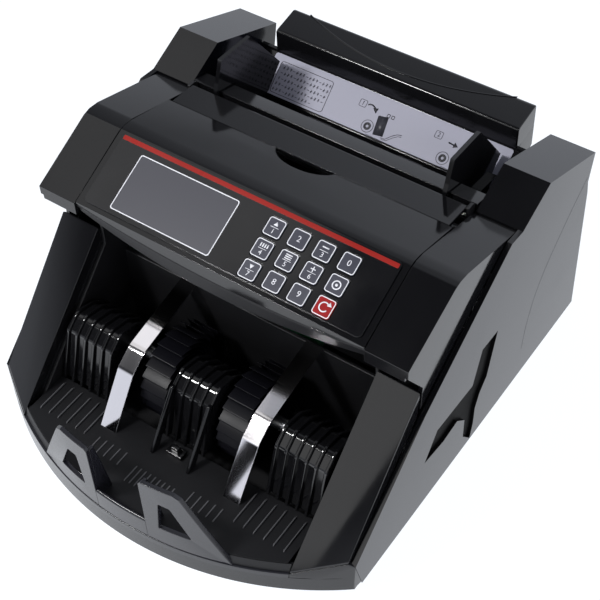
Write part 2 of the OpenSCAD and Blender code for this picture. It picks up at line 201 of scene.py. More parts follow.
def make_floor():
    """White floor that glows more in front of the machine than beside it."""
    bm = bmesh.new()
    bmesh.ops.create_grid(bm, x_segments=8, y_segments=8, size=FLOOR_HALF_SIZE)
    floor = linked("floor", bm)
    floor.location.z = -FLOOR_DROP
    m = bpy.data.materials.new("floor_white")
    m.use_nodes = True
    nt = m.node_tree
    p = nt.nodes["Principled BSDF"]
    p.inputs["Base Color"].default_value = (0.1, 0.1, 0.1, 1)
    p.inputs["Roughness"].default_value = 0.8
    p.inputs["Specular IOR Level"].default_value = 0.1
    p.inputs["Emission Color"].default_value = (0.92, 0.95, 1, 1)
    y = axes(nt, "Object")[1]
    glow = ease(nt, y, -0.34, -0.1, FLOOR_GLOW_IN_FRONT, FLOOR_GLOW)
    nt.links.new(glow, p.inputs["Emission Strength"])
    floor.data.materials.append(m)


def make_studio():
    """White surroundings, four soft lights and the floor."""
    SCENE.view_settings.view_transform = "Standard"
    SCENE.view_settings.look = "None"
    make_world()
    for light in LIGHTS:
        area_light(*light)
    make_floor()


# ---------------------------------------------------------------- materials
def material(name, color, rough, metallic=0.0, grain=900.0, bump=0.03, spread=0.05, drift=1.25,
             stretch=(1, 1, 1), specular=0.5):
    """Principled surface with mottled roughness, a slight colour drift and a fine relief."""
    m = bpy.data.materials.new(name)
    m.use_nodes = True
    nt = m.node_tree
    p = nt.nodes["Principled BSDF"]
    p.inputs["Metallic"].default_value = metallic
    p.inputs["Specular IOR Level"].default_value = specular
    tc = nt.nodes.new("ShaderNodeTexCoord")
    mp = nt.nodes.new("ShaderNodeMapping")
    mp.inputs["Scale"].default_value = stretch
    nt.links.new(tc.outputs["Object"], mp.inputs["Vector"])
    big = nt.nodes.new("ShaderNodeTexNoise")
    big.inputs["Scale"].default_value = 32
    big.inputs["Detail"].default_value = 4
    nt.links.new(mp.outputs[0], big.inputs["Vector"])
    mix = nt.nodes.new("ShaderNodeMix")
    mix.data_type = "RGBA"
    mix.inputs["A"].default_value = (*color, 1)
    mix.inputs["B"].default_value = (*(min(1, c * drift + 0.001) for c in color), 1)
    nt.links.new(big.outputs["Fac"], mix.inputs["Factor"])
    nt.links.new(mix.outputs["Result"], p.inputs["Base Color"])
    mr = nt.nodes.new("ShaderNodeMapRange")
    mr.inputs["From Min"].default_value = 0.3
    mr.inputs["From Max"].default_value = 0.7
    mr.inputs["To Min"].default_value = max(0.02, rough - spread)
    mr.inputs["To Max"].default_value = rough + spread
    nt.links.new(big.outputs["Fac"], mr.inputs["Value"])
    nt.links.new(mr.outputs[0], p.inputs["Roughness"])
    small = nt.nodes.new("ShaderNodeTexNoise")
    small.inputs["Scale"].default_value = grain
    small.inputs["Detail"].default_value = 3
    nt.links.new(mp.outputs[0], small.inputs["Vector"])
    b = nt.nodes.new("ShaderNodeBump")
    b.inputs["Strength"].default_value = bump
    b.inputs["Distance"].default_value = 0.0004
    nt.links.new(small.outputs["Fac"], b.inputs["Height"])
    nt.links.new(b.outputs[0], p.inputs["Normal"])
    return m


M = {
    "gloss_black_abs": material("gloss_black_abs", (0.0042, 0.0042, 0.005), 0.1, grain=60, bump=0.035,
                                spread=0.03, specular=0.42),
    "matte_black_abs": material("matte_black_abs", (0.007, 0.007, 0.008), 0.42, grain=1600, bump=0.3),
    "satin_black_abs": material("satin_black_abs", (0.006, 0.006, 0.0075), 0.2, grain=900, bump=0.1,
                                specular=0.42),
    "flank_black": material("flank_black", (0.004, 0.0045, 0.0075), 0.12, grain=60, bump=0.03,
                            specular=0.3),
    "tab_black": material("tab_black", (0.009, 0.009, 0.0125), 0.2, grain=900, bump=0.08, specular=0.48),
    # light grey ribs: a painted highlight standing in for the bright lines along the floor ribs
    "rib_painted_highlight": material("rib_painted_highlight", (0.075, 0.075, 0.08), 0.3, grain=900, bump=0.05),
    "floor_black": material("floor_black", (0.005, 0.005, 0.006), 0.42, grain=900, bump=0.1,
                            specular=0.28),
    # near-black and barely reflecting: painted shade for the flank groove and the baffle
    "painted_shade_black": material("painted_shade_black", (0.0012, 0.0012, 0.0014), 0.6, grain=900, bump=0.1,
                           specular=0.06),
    "panel_black": material("panel_black", (0.0035, 0.0035, 0.0045), 0.14, grain=120, bump=0.02,
                            spread=0.04),
    "stripe_red": material("stripe_red", (0.28, 0.012, 0.008), 0.3, grain=300, bump=0.02, drift=1.1,
                           specular=0.2),
    "display_grey": material("display_grey", (0.05, 0.05, 0.062), 0.34, grain=2500, bump=0.02,
                             spread=0.0, drift=1.02, specular=0.4),
    "key_slate": material("key_slate", (0.033, 0.034, 0.05), 0.34, grain=1400, bump=0.06, specular=0.36),
    "key_red": material("key_red", (0.28, 0.006, 0.008), 0.36, grain=1400, bump=0.06, drift=1.1,
                        specular=0.14),
    "print_white": material("print_white", (0.78, 0.78, 0.82), 0.35, grain=2000, bump=0.03, drift=1.03),
    "print_ink": material("print_ink", (0.018, 0.018, 0.024), 0.4, grain=2000, bump=0.03),
    "circuit_board": material("circuit_board", (0.02, 0.12, 0.05), 0.35),
    "label_grey": material("label_grey", (0.36, 0.36, 0.45), 0.42, grain=1200, bump=0.04, drift=1.06),
    "polished_steel": material("polished_steel", (0.66, 0.64, 0.655), 0.09, metallic=1, grain=500,
                               bump=0.012, spread=0.03, stretch=(1, 0.15, 0.15)),
    "ground_steel": material("ground_steel", (0.55, 0.55, 0.57), 0.28, metallic=1,
                             stretch=(0.05, 1, 1), bump=0.08),
    "zinc_steel": material("zinc_steel", (0.5, 0.52, 0.54), 0.4, metallic=1),
    "black_rubber": material("black_rubber", (0.008, 0.008, 0.008), 0.7, grain=1500, bump=0.3),
    "switch_black": material("switch_black", (0.012, 0.012, 0.012), 0.3),
    "wheel_black": material("wheel_black", (0.004, 0.004, 0.006), 0.36, grain=700, bump=0.08,
                            specular=0.14),
    "motor_grey": material("motor_grey", (0.16, 0.16, 0.18), 0.4, metallic=0.6),
    "bronze": material("bronze", (0.5, 0.32, 0.12), 0.35, metallic=1),
    "transformer_core": material("transformer_core", (0.26, 0.15, 0.06), 0.45),
}


def paint_cad():
    """Gives every CAD node its own slot's material."""
    slots = {s["node"]: s["material_slot"] for s in RECORD["subparts"]}
    for n, o in NODES.items():
        if not o.data.materials:
            o.data.materials.append(M[slots[n]])
        for s in o.material_slots:
            s.material = M[slots[n]]


def round_cad(width, *names):
    """Rounds the edges of CAD nodes that stay visible, with modifiers alone."""
    for n in names:
        o = NODES[n]
        weld = o.modifiers.new("weld", "WELD")
        weld.merge_threshold = 0.00002
        flat = o.modifiers.new("flat", "DECIMATE")
        flat.decimate_type = "DISSOLVE"
        flat.angle_limit = math.radians(1)
        edge = o.modifiers.new("edge", "BEVEL")
        edge.width = width * MM
        edge.segments = 2
        edge.limit_method = "ANGLE"
        edge.angle_limit = math.radians(32)
        o.modifiers.new("normals", "WEIGHTED_NORMAL")


# ---------------------------------------------------------------- mesh tools, in millimetres
def plate(outline, w0, w1, plane=SIDE):
    """Closed bmesh of an outline pushed from w0 to w1 along its plane's third axis."""
    bm = bmesh.new()
    low = [bm.verts.new((u, v, w0)) for u, v in outline]
    high = [bm.verts.new((u, v, w1)) for u, v in outline]
    bm.faces.new(low[::-1])
    bm.faces.new(high)
    n = len(outline)
    for i in range(n):
        j = (i + 1) % n
        bm.faces.new((low[i], low[j], high[j], high[i]))
    bm.transform(plane)
    bmesh.ops.recalc_face_normals(bm, faces=bm.faces)
    return bm


def rect(u0, v0, u1, v1):
    """Outline of a rectangle between two corners."""
    return [(u0, v0), (u1, v0), (u1, v1), (u0, v1)]


def box(a, b):
    """Closed box between two opposite corners."""
    return plate(rect(a[0], a[1], b[0], b[1]), a[2], b[2], TOP)


def plate_pair(outline, x0, x1):
    """Two plates of a side outline, between x0 and x1 on the right and the same on the left."""
    return [plate(outline, -x1, -x0), plate(outline, x0, x1)]


def rod(c, r, x0, x1, sides=40):
    """Closed cylinder along X about the point c in the side plane."""
    return plate(arc(*c, r, 0, 360 - 360 / sides, sides - 1), x0, x1)


def loft(rings):
    """Closed bmesh through rings of equal length."""
    bm = bmesh.new()
    rows = [[bm.verts.new(p) for p in ring] for ring in rings]
    n = len(rings[0])
    for a, b in zip(rows, rows[1:]):
        for i in range(n):
            j = (i + 1) % n
            bm.faces.new((a[i], a[j], b[j], b[i]))
    bm.faces.new(rows[0][::-1])
    bm.faces.new(rows[-1])
    bmesh.ops.recalc_face_normals(bm, faces=bm.faces)
    return bm


def hull(points):
    """Convex solid around a set of points."""
    bm = bmesh.new()
    for p in points:
        bm.verts.new(p)
    res = bmesh.ops.convex_hull(bm, input=bm.verts)
    inside = [g for g in res["geom_interior"] if isinstance(g, bmesh.types.BMVert)]
    bmesh.ops.delete(bm, geom=inside, context="VERTS")
    bmesh.ops.dissolve_limit(bm, angle_limit=math.radians(0.5), verts=bm.verts, edges=bm.edges)
    bmesh.ops.recalc_face_normals(bm, faces=bm.faces)
    return bm


def mirrored(bm):
    """The same bmesh on the other side of the middle plane."""
    bm.transform(Matrix.Scale(-1, 4, (1, 0, 0)))
    bmesh.ops.reverse_faces(bm, faces=bm.faces)
    return bm


def arc(cx, cy, r, a0, a1, steps=8):
    """Points on an arc from a0 to a1 degrees."""
    angles = [math.radians(a0 + (a1 - a0) * i / steps) for i in range(steps + 1)]
    return [(cx + r * math.cos(a), cy + r * math.sin(a)) for a in angles]


def rounded_rect(cx, cy, w, h, r, steps=6):
    """Outline of a rectangle about its centre, with round corners."""
    x = w / 2 - r
    y = h / 2 - r
    return (arc(cx + x, cy + y, r, 0, 90, steps) + arc(cx - x, cy + y, r, 90, 180, steps)
            + arc(cx - x, cy - y, r, 180, 270, steps) + arc(cx + x, cy - y, r, 270, 360, steps))


def rounded(outline, radii, steps=5):
    """Rounds each corner of an outline with its own radius; 0 keeps it sharp."""
    pts = []
    n = len(outline)
    for i, r in enumerate(radii):
        p = Vector(outline[i])
        if r == 0:
            pts.append(tuple(p))
            continue
        a = (Vector(outline[i - 1]) - p).normalized()
        b = (Vector(outline[(i + 1) % n]) - p).normalized()
        half = a.angle(b) / 2
        reach = r / math.tan(half)
        centre = p + (a + b).normalized() * (r / math.sin(half))
        start = p + a * reach - centre
        turn = start.angle_signed(p + b * reach - centre)
        for k in range(steps + 1):
            q = start.copy()
            q.rotate(Matrix.Rotation(-turn * k / steps, 2))
            pts.append(tuple(centre + q))
    return pts


def closed_band(loops, plane=TOP):
    """Closed ring of faces through loops of equal length, the last one joined to the first."""
    bm = bmesh.new()
    rows = [[bm.verts.new(p) for p in loop] for loop in loops]
    n = len(rows[0])
    for a, b in zip(rows, rows[1:] + rows[:1]):
        for i in range(n):
            j = (i + 1) % n
            bm.faces.new((a[i], a[j], b[j], b[i]))
    bm.transform(plane)
    bmesh.ops.recalc_face_normals(bm, faces=bm.faces)
    return bm


def ring_plate(outer, inner, w0, w1, plane):
    """Flat frame between two outlines of equal length."""
    corners = ((outer, w0), (outer, w1), (inner, w1), (inner, w0))
    return closed_band([[(*p, w) for p in loop] for loop, w in corners], plane)


def to_object(name, bm):
    """Object in metres from a bmesh in millimetres."""
    bm.transform(Matrix.Scale(MM, 4))
    for f in bm.faces:
        f.smooth = True
    return linked(name, bm)


def joined(name, parts):
    """One object from closed bmeshes, which may cross and aren't welded."""
    whole = bmesh.new()
    for bm in parts:
        me = bpy.data.meshes.new("tmp")
        bm.to_mesh(me)
        bm.free()
        whole.from_mesh(me)
        bpy.data.meshes.remove(me)
    return to_object(name, whole)


def carved_mesh(add, cut=(), mirror=False):
    """Welds closed bmeshes into one solid and cuts others out of it."""
    base = linked("tmp", add[0])
    helpers = [base]
    for operation, parts in (("UNION", add[1:]), ("DIFFERENCE", cut)):
        for bm in parts:
            helper = linked("tmp", bm)
            helpers.append(helper)
            m = base.modifiers.new("step", "BOOLEAN")
            m.operation = operation
            m.solver = "EXACT"
            m.object = helper
    depsgraph = bpy.context.evaluated_depsgraph_get()
    me = bpy.data.meshes.new_from_object(base.evaluated_get(depsgraph))
    for h in helpers:
        bpy.data.objects.remove(h)
    bm = bmesh.new()
    bm.from_mesh(me)
    bmesh.ops.remove_doubles(bm, verts=bm.verts, dist=0.004)
    bmesh.ops.dissolve_limit(bm, angle_limit=math.radians(0.3), verts=bm.verts, edges=bm.edges)
    return mirrored(bm) if mirror else bm


def carved(name, add, cut=(), mirror=False):
    """Object of a welded and cut solid."""
    return to_object(name, carved_mesh(add, cut, mirror))


def soften(o, width, segments=3, angle=30):
    """Moulded edge radius with normals that keep the big faces flat."""
    if width:
        edge = o.modifiers.new("edge", "BEVEL")
        edge.width = width * MM
        edge.segments = segments
        edge.limit_method = "ANGLE"
        edge.angle_limit = math.radians(angle)
        edge.miter_outer = "MITER_ARC"
    normals = o.modifiers.new("normals", "WEIGHTED_NORMAL")
    normals.weight = 100
    normals.keep_sharp = True
    return o


def place(o, body, slot, *nodes, finish=None):
    """Gives a piece its finish, its body and the CAD nodes that it stands for."""
    if not o.data.materials:
        o.data.materials.append(M[finish or slot])
    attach(o, body)
    if nodes:
        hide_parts(*nodes)
    return o


def bow_point(x, r, z):
    """Point on the bowed front at radius r."""
    return (x, BOW_Y - math.sqrt(r * r - x * x), z)


def spread(half, steps):
    """Even places from -half to half, with a number of steps on each side of the middle."""
    return [half * i / steps for i in range(-steps, steps + 1)]


# ---------------------------------------------------------------- outer covers
COVER_EDGE = [(-103.4, 26.3), (-37.7, 85.4), (45, 142.6), (56.9, 141.6), (84.8, 154.6), (143.3, 131.9),
              (139.5, 112), (141.5, 101.9), (147, 1.6), (-97, 1.6)]
TOWER = [(56.9, 100), (56.9, 141.6), (84.8, 154.6), (143.3, 131.9), (139.5, 112), (141.5, 101.9),
         (141.6, 100)]
TOWER_HOLLOW = [(59.6, 98), (59.6, 117), (137, 117), (136.6, 112), (138.8, 98)]
GROOVE = [(40, 78), (23, 78.5), (15, 55), (-23, 56.5), (-35, 40), (-15, 37), (0, 39), (9, 30), (9, 14),
          (18, 2.5), (20.5, 14), (21, 28), (25, 38), (32, 46)]


def in_groove(face):
    """Whether a face of a side cover is the floor or a wall of its groove, in metres."""
    c = face.center
    return 0.1226 < abs(c.x) < 0.1249 and -0.04 < c.y < 0.045 and c.z < 0.08


def side_cover(name, mirror):
    """Outer cover with its hollow tower and the branching groove in the flank."""
    add = [plate(COVER_EDGE, COVER_INNER_X, BODY_X), plate(TOWER, TOWER_X, COVER_INNER_X + 1)]
    cut = [plate(TOWER_HOLLOW, TOWER_INNER_X, COVER_INNER_X),
           plate(GROOVE, GROOVE_FLOOR_X, BODY_X + 5)]
    o = carved(name, add, cut, mirror)
    for finish in ("gloss_black_abs", "painted_shade_black", "flank_black"):
        o.data.materials.append(M[finish])
    # the groove's floor and walls get painted shade, a near-black finish in place of the shade inside it
    for f in o.data.polygons:
        if in_groove(f):
            f.material_index = 1
        elif abs(f.normal.x) > 0.9:
            f.material_index = 2
    soften(o, 1.1, 3)
    return place(o, "casing", "gloss_black_abs", name.replace("_shell", ""))


CREASE = [(137.5, 117), (112, 96), (88, 69), (79, 44), (76.5, 26)]
CREASE_R = 1.6
CREASE_SUNK = 1.48


def flank_crease(name, sign):
    """Faint moulded line that runs down the flank."""
    cu = bpy.data.curves.new(name, "CURVE")
    cu.dimensions = "3D"
    cu.bevel_depth = CREASE_R * MM
    cu.bevel_resolution = 6
    s = cu.splines.new("BEZIER")
    s.bezier_points.add(len(CREASE) - 1)
    for bp, (y, z) in zip(s.bezier_points, CREASE):
        bp.co = (sign * (BODY_X - CREASE_SUNK) * MM, y * MM, z * MM)
        bp.handle_left_type = bp.handle_right_type = "AUTO"
    o = bpy.data.objects.new(name, cu)
    SCENE.collection.objects.link(o)
    place(o, "casing", "gloss_black_abs", finish="flank_black")


HOOD_TOP = [(-51, 133.2), (-8, 154.4), (-3, 155.6), (4, 155), (56.4, 140.4)]
HOOD_SKIN = HOOD_TOP + [(56.4, 137.7), (4, 152.3), (-2, 152.9), (-7, 151.8), (-48.4, 131.2),
                        (-48.4, 124.5), (-51, 124.5)]
HOOD_SKIRT = HOOD_TOP + [(46, 142), (-36.5, 87.4), (-35.5, 104.6), (-51, 127.5)]


def hood():
    """Two shoulders beside the central cover, each with its side skirt."""
    halves = []
    for mirror in (False, True):
        add = [plate(HOOD_SKIRT, SKIRT_INNER_X, SKIRT_X), plate(HOOD_SKIN, HOOD_X, SKIRT_INNER_X + 0.7)]
        halves.append(carved_mesh(add, (), mirror))
    o = joined("hood_shoulders", halves)
    soften(o, 0.9, 3)
    place(o, "casing", "gloss_black_abs", "hood")


# Keys in PANEL: centre of the first one, pitch along and up the slope, width of a cap.
KEY_U = 19.2
KEY_V = 9.95
KEY_PITCH_U = 15.55
KEY_PITCH_V = 12.98
KEY_W = 10.6
KEY_GAP = 0.7

COVER_SKIN = [(-50, 134.1), (-7.6, 154.5), (-4, 155.7), (2, 155.3), (34.6, 147.2), (34.6, 144.6),
              (2, 152.7), (-3.8, 153), (-7, 151.9), (-47, 132.2)]
BAFFLE = [(-24, 145), (-21.6, 145.5), (-17.4, 77), (-19.8, 77)]
LIP_STEPS = 32
SCOOP_X = 1
SCOOP_Y = 38
SCOOP_HALF = 20
SCOOP_DEPTH = 11.8
SCOOP_FLARE = 1.4


def front_lip():
    """Lens-shaped bevel under the panel and, past a fine groove, the bowed lip below it."""
    lens = []
    lip = []
    for t in spread(1, LIP_STEPS):
        x = COVER_X * t
        bow = 1 - t * t
        y = -50.2 - 1.2 * bow
        z = 132.9 - 6.2 * bow
        foot_y = -47.3 - 4.6 * bow
        foot_z = 124.8 - 7.8 * bow
        lens.append([(x, -49.9, 134.0), (x, y, z), (x, y + 1.6, z - 0.6), (x, -45.5, 131)])
        lip.append([(x, y + 1.5, z - 0.5), (x, y + 0.5, z - 1.7), (x, foot_y, foot_z),
                    (x, foot_y + 2.2, foot_z + 0.3), (x, -44.8, 130)])
    return loft(lens), loft(lip)


def finger_scoop():
    """Cutter for the scoop: half an ellipse at the rear edge, wider at the top."""
    rings = []
    for z, grow in ((130, 0), (146, 0), (149.4, SCOOP_FLARE), (170, SCOOP_FLARE)):
        half = SCOOP_HALF + grow
        ring = [(SCOOP_X + half * math.cos(a), SCOOP_Y + (SCOOP_DEPTH + grow) * math.sin(a), z)
                for a in (math.pi * (1 + i / 24) for i in range(25))]
        rings.append(ring + [(SCOOP_X + half, 45, z), (SCOOP_X - half, 45, z)])
    return loft(rings)


def key_centre(i, j):
    """Centre of the key in column i and row j."""
    return KEY_U + i * KEY_PITCH_U, KEY_V + j * KEY_PITCH_V


def key_hole(i, j):
    """Outline of the opening around the key in column i and row j."""
    return rounded_rect(*key_centre(i, j), KEY_W + KEY_GAP, KEY_W + KEY_GAP, 1.7)


def central_cover():
    """Sloped cover with key pockets and finger scoop, its front lip and the baffle inside it."""
    pockets = [plate(key_hole(i, j), -1.3, 4, PANEL) for i in range(4) for j in range(3)]
    skin = plate(COVER_SKIN, -COVER_X, COVER_X)
    o = carved("central_cover_skin", [skin], [finger_scoop()] + pockets)
    soften(o, 0.7, 3)
    place(o, "casing", "gloss_black_abs", "central_cover")
    lens, lip = front_lip()
    place(soften(to_object("front_lens", lens), 0.3, 2, 24), "casing", "gloss_black_abs")
    place(soften(to_object("front_lip", lip), 0.4, 2, 24), "casing", "gloss_black_abs",
          finish="floor_black")
    # the baffle in front of the feed parts, and a cover under the control board, both near-black as
    # painted shade
    parts = [plate(BAFFLE, -BAFFLE_X, BAFFLE_X),
             plate(rect(-BAFFLE_X, 2, BAFFLE_X, 25), -11.5, -10.3, PANEL)]
    place(soften(joined("cover_baffle", parts), 0.3, 2), "casing", "matte_black_abs",
          finish="painted_shade_black")


# ---------------------------------------------------------------- key panel
KEYS = [["key_7", "key_8", "key_9", "key_restart"], ["key_4", "key_5", "key_6", "key_set"],
        ["key_1", "key_2", "key_3", "key_0"]]
CAP_TOP = 1.4
PRINT_UP = 0.07
PRINT_SUNK = 0.02

# Display in PANEL: centre, width and height.
LCD_CENTRE = (-40, 23.65)
LCD_W = 66.2
LCD_H = 33.2


def glyph(text, size, cx, cy, w0, depth, plane):
    """Closed solid of a number, centred on a point of a plane."""
    cu = bpy.data.curves.new("glyph", "FONT")
    cu.body = text
    cu.size = size
    cu.align_x = "CENTER"
    cu.align_y = "CENTER"
    cu.extrude = depth / 2
    cu.resolution_u = 3
    o = bpy.data.objects.new("glyph", cu)
    SCENE.collection.objects.link(o)
    me = bpy.data.meshes.new_from_object(o.evaluated_get(bpy.context.evaluated_depsgraph_get()))
    bpy.data.objects.remove(o)
    bm = bmesh.new()
    bm.from_mesh(me)
    bmesh.ops.remove_doubles(bm, verts=bm.verts, dist=0.0005)
    bm.transform(plane @ Matrix.Translation((cx, cy, w0 + depth / 2)))
    return bm


def key_signs(number, cx, y):
    """Outlines of the plain sign above a key's number, about the point (cx, y)."""
    signs = {
        "1": [[(cx - 1.4, y - 1), (cx + 1.4, y - 1), (cx, y + 1.3)]],
        "7": [[(cx - 1.4, y + 1), (cx, y - 1.3), (cx + 1.4, y + 1)]],
        "3": [rect(cx - 2, y - 0.3, cx + 2, y + 0.4)],
        "4": [rect(cx - 2.2 + u, y - 1.1, cx - 1.5 + u, y + 1.1) for u in (0, 1.4, 2.8, 4.2)],
        "5": [rect(cx - 2, y - 1.3 + v, cx + 2, y - 0.7 + v) for v in (0, 1.1, 2.2)],
        "6": [rect(cx - 1.5, y - 0.3, cx + 1.5, y + 0.3), rect(cx - 0.3, y + 0.3, cx + 0.3, y + 1.5),
              rect(cx - 0.3, y - 1.5, cx + 0.3, y - 0.3)],
    }
    return signs.get(number, [])


def key_mark(name, cx, cy, w):
    """Border, number and a plain sign where the key has a second use."""
    low = w - PRINT_SUNK
    high = w + PRINT_UP
    border = (rounded_rect(cx, cy, 10.3, 10.3, 1.5), rounded_rect(cx, cy, 9.3, 9.3, 1.1))
    parts = [ring_plate(*border, w - 0.03, high, PANEL)]
    number = name.split("_")[1]
    if number in "134567":
        parts.append(glyph(number, 3.9, cx, cy - 2.2, low, PRINT_UP, PANEL))
        parts.append(plate(rect(cx - 2.6, cy - 0.1, cx + 2.6, cy + 0.2), low, high, PANEL))
    elif number.isdigit():
        parts.append(glyph(number, 4.8, cx, cy, low, PRINT_UP, PANEL))
    for sign in key_signs(number, cx, cy + 2.1):
        parts.append(plate(sign, low, high, PANEL))
    if number == "set":
        parts.append(ring_plate(arc(cx, cy, 2.6, 0, 345, 23), arc(cx, cy, 1.9, 0, 345, 23),
                                low, high, PANEL))
        parts.append(plate(arc(cx, cy, 0.8, 0, 345, 15), low, high, PANEL))
    if number == "restart":
        turn = arc(cx, cy, 2.9, 40, 330, 20) + arc(cx, cy, 2.2, 330, 40, 20)
        tip = [(cx + 1.2, cy + 1.1), (cx + 3.9, cy + 1.4), (cx + 2.2, cy + 3.6)]
        parts += [plate(turn, low, high, PANEL), plate(tip, low, high, PANEL)]
    return parts


def lcd_outline(grow, r):
    """Outline of the display, grown by a width."""
    return rounded_rect(*LCD_CENTRE, LCD_W + grow, LCD_H + grow, r)


def key_panel():
    """Twelve keys with their marks, the overlay around them, the stripe and the display."""
    cuts = [plate(lcd_outline(0.4, 1.2), -3, 4, PANEL)]
    for j, row in enumerate(KEYS):
        for i, name in enumerate(row):
            cx, cy = key_centre(i, j)
            cuts.append(plate(key_hole(i, j), -3, 4, PANEL))
            outline = rounded_rect(cx, cy, KEY_W, KEY_W, 1.6)
            cap = to_object(name + "_cap", plate(outline, -0.1, CAP_TOP, PANEL))
            soften(cap, 0.3, 3)
            slot = "key_red" if name == "key_restart" else "key_slate"
            place(cap, name + "_cap", slot, name)
            mark = joined(name + "_mark", key_mark(name, cx, cy, CAP_TOP))
            place(mark, name + "_cap", slot, finish="print_white")
    outline = rounded(rect(-91, 3.6, 91, 48.4), [3] * 4)
    o = carved("panel_overlay_skin", [plate(outline, 0.05, 0.8, PANEL)], cuts)
    place(soften(o, 0.2, 2), "casing", "panel_black", "panel_overlay")
    outline = rounded(rect(-90, 44.4, 90, 47.1), [0.5] * 4, 3)
    stripe = to_object("red_stripe", plate(outline, 0.7, 0.9, PANEL))
    place(soften(stripe, 0.06, 1), "casing", "stripe_red", "accent_stripe")
    glass = to_object("display_glass", plate(lcd_outline(0, 1.2), 0.1, 0.78, PANEL))
    place(soften(glass, 0.15, 2), "casing", "display_grey", "display_window")
    line = ring_plate(lcd_outline(1.4, 1.5), lcd_outline(0.2, 1.2), 0.76, 0.87, PANEL)
    place(to_object("display_line", line), "casing", "panel_black", finish="print_white")


# ---------------------------------------------------------------- hopper
HINGE = (54, 144.5)
PIN_R = 0.7
PIN_X = 93.2
PIN_HALF = 1.2


def jam_flap():
    """Hinged plate behind the central cover, with a pin at each end."""
    outline = [(35.1, 147.1), (53.6, 145.7), (54.6, 145.2), (55, 144.5), (54.4, 143.6), (35.1, 144.8)]
    pins = [rod(HINGE, PIN_R, x - PIN_HALF, x + PIN_HALF, 16) for x in (-PIN_X, PIN_X)]
    o = carved("jam_flap_plate", [plate(outline, -FLAP_X, FLAP_X)] + pins)
    place(soften(o, 0.45, 3), "jam_flap", "gloss_black_abs", "jam_flap")


def hopper_plate():
    """Slope that the notes lie on, and the ears that hold the flap's pins."""
    slope = [(59, 144.6), (71.6, 141.2), (71.6, 133.1), (101, 110.6), (101, 107.6), (59, 139.7)]
    ear_up = [(51.8, 138.5), (62, 138.5), (62, 141), (57, 146.2), (51.8, 146.2)]
    ear_low = [(51.8, 138.5), (62, 138.5), (62, 136), (58, 112), (51.8, 112)]
    windows = [plate(rounded_rect(x, 94, 17.6, 16, 2), 95, 130, TOP) for x in (-32, 32)]
    o = carved("hopper_slope", [plate(slope, -HOPPER_X, HOPPER_X)], windows)
    soften(o, 0.5, 2)
    place(o, "casing", "gloss_black_abs", "hopper_plate")
    ears = plate_pair(ear_up, *EAR_X) + plate_pair(ear_low, *EAR_X)
    place(soften(joined("hopper_ears", ears), 0.3, 2), "casing", "gloss_black_abs",
          finish="matte_black_abs")


BAR = [(126, 126.5), (126, 141.4), (128, 142.6), (145, 145.9), (147, 145), (147, 130), (134, 127)]
BAR_HOLLOW = [(130, 120), (130, 138.6), (143, 141), (143, 120)]
BAR_BRACKET = [(126, 126.6), (147, 131), (147, 116), (143.8, 113), (137, 113)]
BAR_INNER_X = BAR_X - 3.5
REST = [(103.2, 111), (126, 126.4), (126, 128), (128.6, 128), (128.6, 125), (104.6, 108.8),
        (104.6, 100), (103.2, 100)]


def bar_relief():
    """Shallow raised arc on the top of the bar."""
    rings = []
    for t in spread(1, 20):
        x = 72 * t
        y = 131.5 + 14.5 * t * t
        z = 142.6 + (y - 128) * 0.194
        rings.append([(x, y - 0.7, z - 0.1), (x, y, z + 0.28), (x, y + 0.7, z + 0.2), (x, y, z - 0.2)])
    return loft(rings)


def back_rest():
    """Sloped rest behind the notes and the hollow carrying bar above it."""
    o = carved("back_rest_plate", [plate(REST, -HOPPER_X, HOPPER_X)])
    place(soften(o, 0.35, 2), "casing", "gloss_black_abs", "back_rest")
    bar = carved("carry_bar", [plate(BAR, -BAR_X, BAR_X)],
                 [plate(BAR_HOLLOW, -BAR_INNER_X, BAR_INNER_X)])
    place(soften(bar, 0.8, 3), "casing", "gloss_black_abs")
    brackets = joined("bar_brackets", plate_pair(BAR_BRACKET, BAR_INNER_X, BAR_X))
    place(soften(brackets, 0.6, 2), "casing", "gloss_black_abs")
    place(soften(to_object("bar_relief", bar_relief()), 0.12, 2), "casing", "gloss_black_abs")


def strip_line(points, width, w0, w1, plane):
    """Printed line of constant width along a path."""
    left = []
    right = []
    for i, p in enumerate(points):
        a = Vector(points[max(0, i - 1)])
        b = Vector(points[min(len(points) - 1, i + 1)])
        side = (b - a).orthogonal().normalized() * width / 2
        left.append(tuple(Vector(p) + side))
        right.append(tuple(Vector(p) - side))
    return plate(left + right[::-1], w0, w1, plane)


INK = 0.06
TEXT_PITCH = 2.42
TEXT_ROW = 3.6


def printed(outline, high=INK):
    """Flat print of an outline on the label."""
    return plate(outline, 0.0, high, LABEL)


def printed_line(points, width, high=INK):
    """Printed line along a path on the label."""
    return strip_line(points, width, 0.0, high, LABEL)


def printed_ring(outer, inner):
    """Printed frame between two outlines on the label."""
    return ring_plate(outer, inner, 0.0, INK, LABEL)


def printed_circle(cx, cy, r, width):
    """Printed round line whose outer radius is r."""
    return printed_ring(arc(cx, cy, r, 0, 350, 35), arc(cx, cy, r - width, 0, 350, 35))


def text_mark(u, v, kind):
    """Plain mark in place of a character: a bar and up to three strokes."""
    strokes = [rect(u - 0.75, v - 0.2, u + 0.75, v + 0.12)]
    if kind != 1:
        strokes.append(rect(u - 0.16, v - 1, u + 0.16, v + 1))
    if kind > 1:
        strokes.append(rect(u - 0.6, v + 0.6, u + 0.6, v + 0.85))
    if kind in (0, 3):
        strokes.append([(u - 0.7, v - 1), (u - 0.45, v - 1), (u - 0.2, v - 0.2), (u - 0.4, v - 0.2)])
    return [printed(s) for s in strokes]


